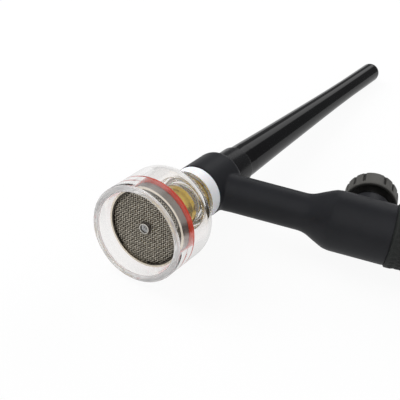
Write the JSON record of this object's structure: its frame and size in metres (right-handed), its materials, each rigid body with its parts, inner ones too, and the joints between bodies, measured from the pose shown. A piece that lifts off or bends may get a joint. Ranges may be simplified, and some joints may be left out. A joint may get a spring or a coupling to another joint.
{
  "type": "tig welding torch",
  "caption": "Air cooled TIG torch: angled moulded head, gas valve with knob, tapered long back cap, round handle and a large clear cup over a gas lens with woven mesh screens.",
  "frame": {"origin": "where the head axis and the handle axis cross, on the electrode's centre line inside the head", "axes": "+Y along the head axis from the cup's mouth towards the back cap's tip; +X square to it on the handle's side, the handle leaves at 70 degrees from +Y in the XY plane; +Z square to the plane of the head and the handle"},
  "size_m": [0.2138, 0.2039, 0.0368],
  "materials": {
    "moulded_rubber": "satin, moulded",
    "brass": "turned",
    "lens_brass": "bright turned",
    "copper": "drawn copper",
    "black_rubber": "smooth",
    "clear_silicone": "smooth, clear",
    "red_silicone": "smooth",
    "knob_plastic": "satin",
    "white_ptfe": "satin, slightly waxy",
    "housing_steel": "turned",
    "bright_steel": "bright",
    "mesh_steel": "woven wire, dull",
    "clear_glass": "clear borosilicate, polished",
    "cap_plastic": "polished",
    "grip_plastic": "matt, finely dimpled"
  },
  "bodies": {
    "torch_head": {"head_shell": "moulded_rubber", "head_core": "brass", "neck_tube": "copper", "valve_housing": "brass", "cable_connector": "brass", "gland_nut": "brass", "insulator": "white_ptfe"},
    "stem_seal": {"stem_o_ring": "black_rubber"},
    "valve_spindle": {"valve_stem": "brass", "valve_knob": "knob_plastic", "knob_screw": "brass"},
    "lens_seals": {"neck_o_rings": "clear_silicone"},
    "gas_lens": {"gas_lens_body": "lens_brass"},
    "diffuser": {"diffuser_housing": "housing_steel", "cup_o_ring": "red_silicone", "mesh_screen_rear": "mesh_steel", "spacer_ring": "housing_steel", "mesh_screen_front": "mesh_steel", "mesh_eyelet": "bright_steel", "snap_ring": "bright_steel"},
    "cup": {"glass_cup": "clear_glass"},
    "collet": {"collet": "copper"},
    "cap_seal": {"back_cap_o_ring": "black_rubber"},
    "cap": {"back_cap": "cap_plastic"},
    "handle": {"handle_grip": "grip_plastic"}
  },
  "joints": [
    {"name": "valve_rise", "type": "slide", "parent": "torch_head", "child": "stem_seal", "axis": [-0.342, 0.9397, 0], "range_m": [0, 0.0012]},
    {"name": "valve_turn", "type": "hinge", "parent": "stem_seal", "child": "valve_spindle", "pos_m": [0.05873, 0.02138, 0], "axis": [-0.342, 0.9397, 0], "range_deg": [0, 540.5]},
    {"name": "lens_travel", "type": "slide", "parent": "torch_head", "child": "lens_seals", "axis": [0, -1, 0], "range_m": [0, 0.0044]},
    {"name": "lens_turn", "type": "hinge", "parent": "lens_seals", "child": "gas_lens", "pos_m": [0, 0, 0], "axis": [0, -1, 0], "range_deg": [0, 1981]},
    {"name": "diffuser_pull", "type": "slide", "parent": "gas_lens", "child": "diffuser", "axis": [0, -1, 0], "range_m": [0, 0.02]},
    {"name": "cup_spin", "type": "hinge", "parent": "gas_lens", "child": "cup", "pos_m": [0, 0, 0], "axis": [0, -1, 0], "continuous": true},
    {"name": "cap_travel", "type": "slide", "parent": "torch_head", "child": "cap_seal", "axis": [0, 1, 0], "range_m": [0, 0.0075]},
    {"name": "cap_turn", "type": "hinge", "parent": "cap_seal", "child": "cap", "pos_m": [0, 0, 0], "axis": [0, 1, 0], "range_deg": [0, 2161]},
    {"name": "collet_slide", "type": "slide", "parent": "torch_head", "child": "collet", "axis": [0, 1, 0], "range_m": [0, 0.00751]},
    {"name": "handle_slide", "type": "slide", "parent": "torch_head", "child": "handle", "axis": [0.9397, 0.342, 0], "range_m": [0, 0.04]}
  ],
  "couplings": [
    {"joint": "valve_turn", "follows": "valve_rise", "rad_per_m": 7854},
    {"joint": "lens_turn", "follows": "lens_travel", "rad_per_m": 7854},
    {"joint": "cap_turn", "follows": "cap_travel", "rad_per_m": 5026.5},
    {"joint": "collet_slide", "follows": "cap_travel", "ratio": 1}
  ]
}
